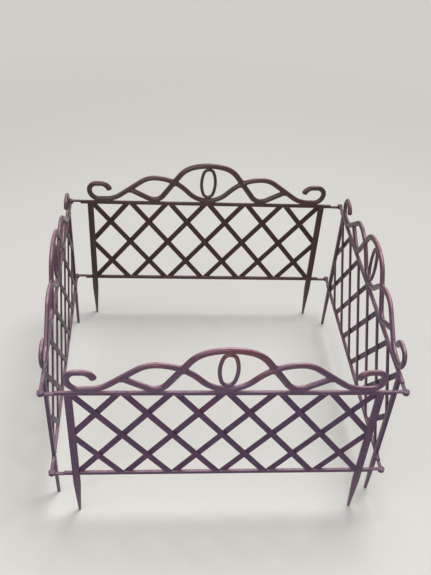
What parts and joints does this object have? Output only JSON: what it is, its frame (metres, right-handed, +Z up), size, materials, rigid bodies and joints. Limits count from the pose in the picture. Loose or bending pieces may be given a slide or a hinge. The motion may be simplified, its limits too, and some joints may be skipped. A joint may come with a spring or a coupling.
{
  "type": "garden border fence enclosure",
  "caption": "Square garden bed surround of hinged lattice panels with ground spikes and a scrolled top of curls, arches and oval rings; folds as a rhombus.",
  "frame": {"origin": "centre of the bounding box's bottom, level with the spike tips", "axes": "+Z up; +X along the front panel towards its right end; +Y from the front panel to the back panel"},
  "size_m": [0.6222, 0.6222, 0.409],
  "materials": {
    "rail_coat": "satin dark brown powder coat on flat bar",
    "strip_coat": "satin dark brown powder coat on thin strip",
    "scroll_coat": "satin dark brown powder coat on bent round bar",
    "hinge_coat": "satin dark brown powder coat, rubbed at the laps"
  },
  "bodies": {
    "front": {"front_top_rail": "rail_coat", "front_bottom_rail": "rail_coat", "front_left_leg": "rail_coat", "front_right_leg": "rail_coat", "front_rising_strips": "strip_coat", "front_falling_strips": "strip_coat", "front_left_scroll": "scroll_coat", "front_right_scroll": "scroll_coat", "front_middle_bow": "scroll_coat", "front_arch_bar": "scroll_coat", "front_oval_ring": "scroll_coat", "front_hinge_pins": "hinge_coat", "front_hinge_eyes": "hinge_coat"},
    "right": {"right_top_rail": "rail_coat", "right_bottom_rail": "rail_coat", "right_left_leg": "rail_coat", "right_right_leg": "rail_coat", "right_rising_strips": "strip_coat", "right_falling_strips": "strip_coat", "right_left_scroll": "scroll_coat", "right_right_scroll": "scroll_coat", "right_middle_bow": "scroll_coat", "right_arch_bar": "scroll_coat", "right_oval_ring": "scroll_coat", "right_hinge_pins": "hinge_coat", "right_hinge_eyes": "hinge_coat"},
    "back": {"back_top_rail": "rail_coat", "back_bottom_rail": "rail_coat", "back_left_leg": "rail_coat", "back_right_leg": "rail_coat", "back_rising_strips": "strip_coat", "back_falling_strips": "strip_coat", "back_left_scroll": "scroll_coat", "back_right_scroll": "scroll_coat", "back_middle_bow": "scroll_coat", "back_arch_bar": "scroll_coat", "back_oval_ring": "scroll_coat", "back_hinge_pins": "hinge_coat", "back_hinge_eyes": "hinge_coat"},
    "left": {"left_top_rail": "rail_coat", "left_bottom_rail": "rail_coat", "left_left_leg": "rail_coat", "left_right_leg": "rail_coat", "left_rising_strips": "strip_coat", "left_falling_strips": "strip_coat", "left_left_scroll": "scroll_coat", "left_right_scroll": "scroll_coat", "left_middle_bow": "scroll_coat", "left_arch_bar": "scroll_coat", "left_oval_ring": "scroll_coat", "left_hinge_pins": "hinge_coat", "left_hinge_eyes": "hinge_coat"}
  },
  "joints": [
    {"name": "left_fold", "type": "hinge", "parent": "front", "child": "left", "pos_m": [-0.305, -0.305, 0.2], "axis": [0, 0, 1], "range_deg": [-50, 50]},
    {"name": "right_fold", "type": "hinge", "parent": "front", "child": "right", "pos_m": [0.305, -0.305, 0.2], "axis": [0, 0, 1], "range_deg": [-50, 50]},
    {"name": "back_fold", "type": "hinge", "parent": "left", "child": "back", "pos_m": [-0.305, 0.305, 0.2], "axis": [0, 0, 1], "range_deg": [-50, 50]}
  ],
  "couplings": [
    {"joint": "right_fold", "follows": "left_fold", "ratio": 1},
    {"joint": "back_fold", "follows": "left_fold", "ratio": -1}
  ]
}
